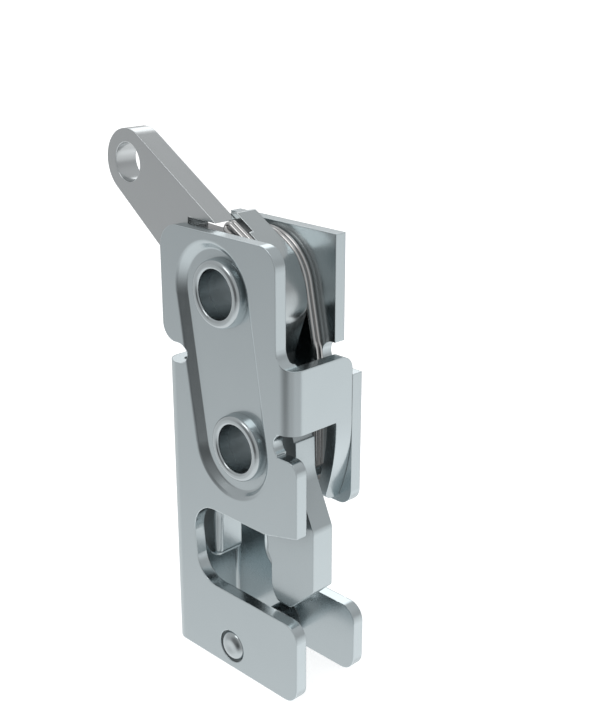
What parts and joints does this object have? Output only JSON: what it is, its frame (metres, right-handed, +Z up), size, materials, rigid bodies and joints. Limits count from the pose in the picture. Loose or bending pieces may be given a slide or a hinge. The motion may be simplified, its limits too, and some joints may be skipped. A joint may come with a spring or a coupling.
{
  "type": "rotary latch",
  "caption": "Rotary latch of folded, zinc-plated sheet with a claw for a striker bar, two tubular mounting bushes, a pawl and a release lever with an eye. Modelled shut.",
  "frame": {"origin": "centre of the lower mounting bore, at the front plate's face", "axes": "+Z up along the plates, towards the upper bore's end; +Y from the front plate to the back plate; +X to the right, out of the striker throat"},
  "size_m": [0.0522, 0.0174, 0.0937],
  "materials": {
    "zinc_sheet": "smooth bright zinc plating",
    "zinc_bush": "turned and zinc-plated",
    "zinc_lever": "blanked steel, zinc-plated, slightly dull",
    "spring_wire": "bright drawn wire"
  },
  "bodies": {
    "frame": {"front_plate": "zinc_sheet", "back_plate": "zinc_sheet", "spine": "zinc_sheet", "side_flange": "zinc_sheet", "upper_bushing": "zinc_bush", "lower_bushing": "zinc_bush", "foot_pin": "zinc_bush", "spring_spool": "zinc_bush", "trigger_spring": "spring_wire", "rotor_spring": "spring_wire"},
    "trigger": {"trigger_lever": "zinc_lever", "pawl": "zinc_lever"},
    "claw": {"rotor": "zinc_sheet", "rotor_pin": "zinc_bush"}
  },
  "joints": [
    {"name": "rotor_pivot", "type": "hinge", "parent": "frame", "child": "claw", "pos_m": [0, 0.00565, 0], "axis": [0, -1, 0], "range_deg": [0, 46], "deforming": ["rotor_spring"]},
    {"name": "trigger_pivot", "type": "hinge", "parent": "frame", "child": "trigger", "pos_m": [-0.00416, 0.0078, 0.026], "axis": [0, -1, 0], "range_deg": [0, 21], "stiffness_Nm_per_rad": 0.15, "springref_deg": -20.05, "deforming": ["trigger_spring"]}
  ],
  "couplings": [
    {"joint": "trigger_pivot", "follows": "rotor_pivot", "ratio": 0.45}
  ]
}
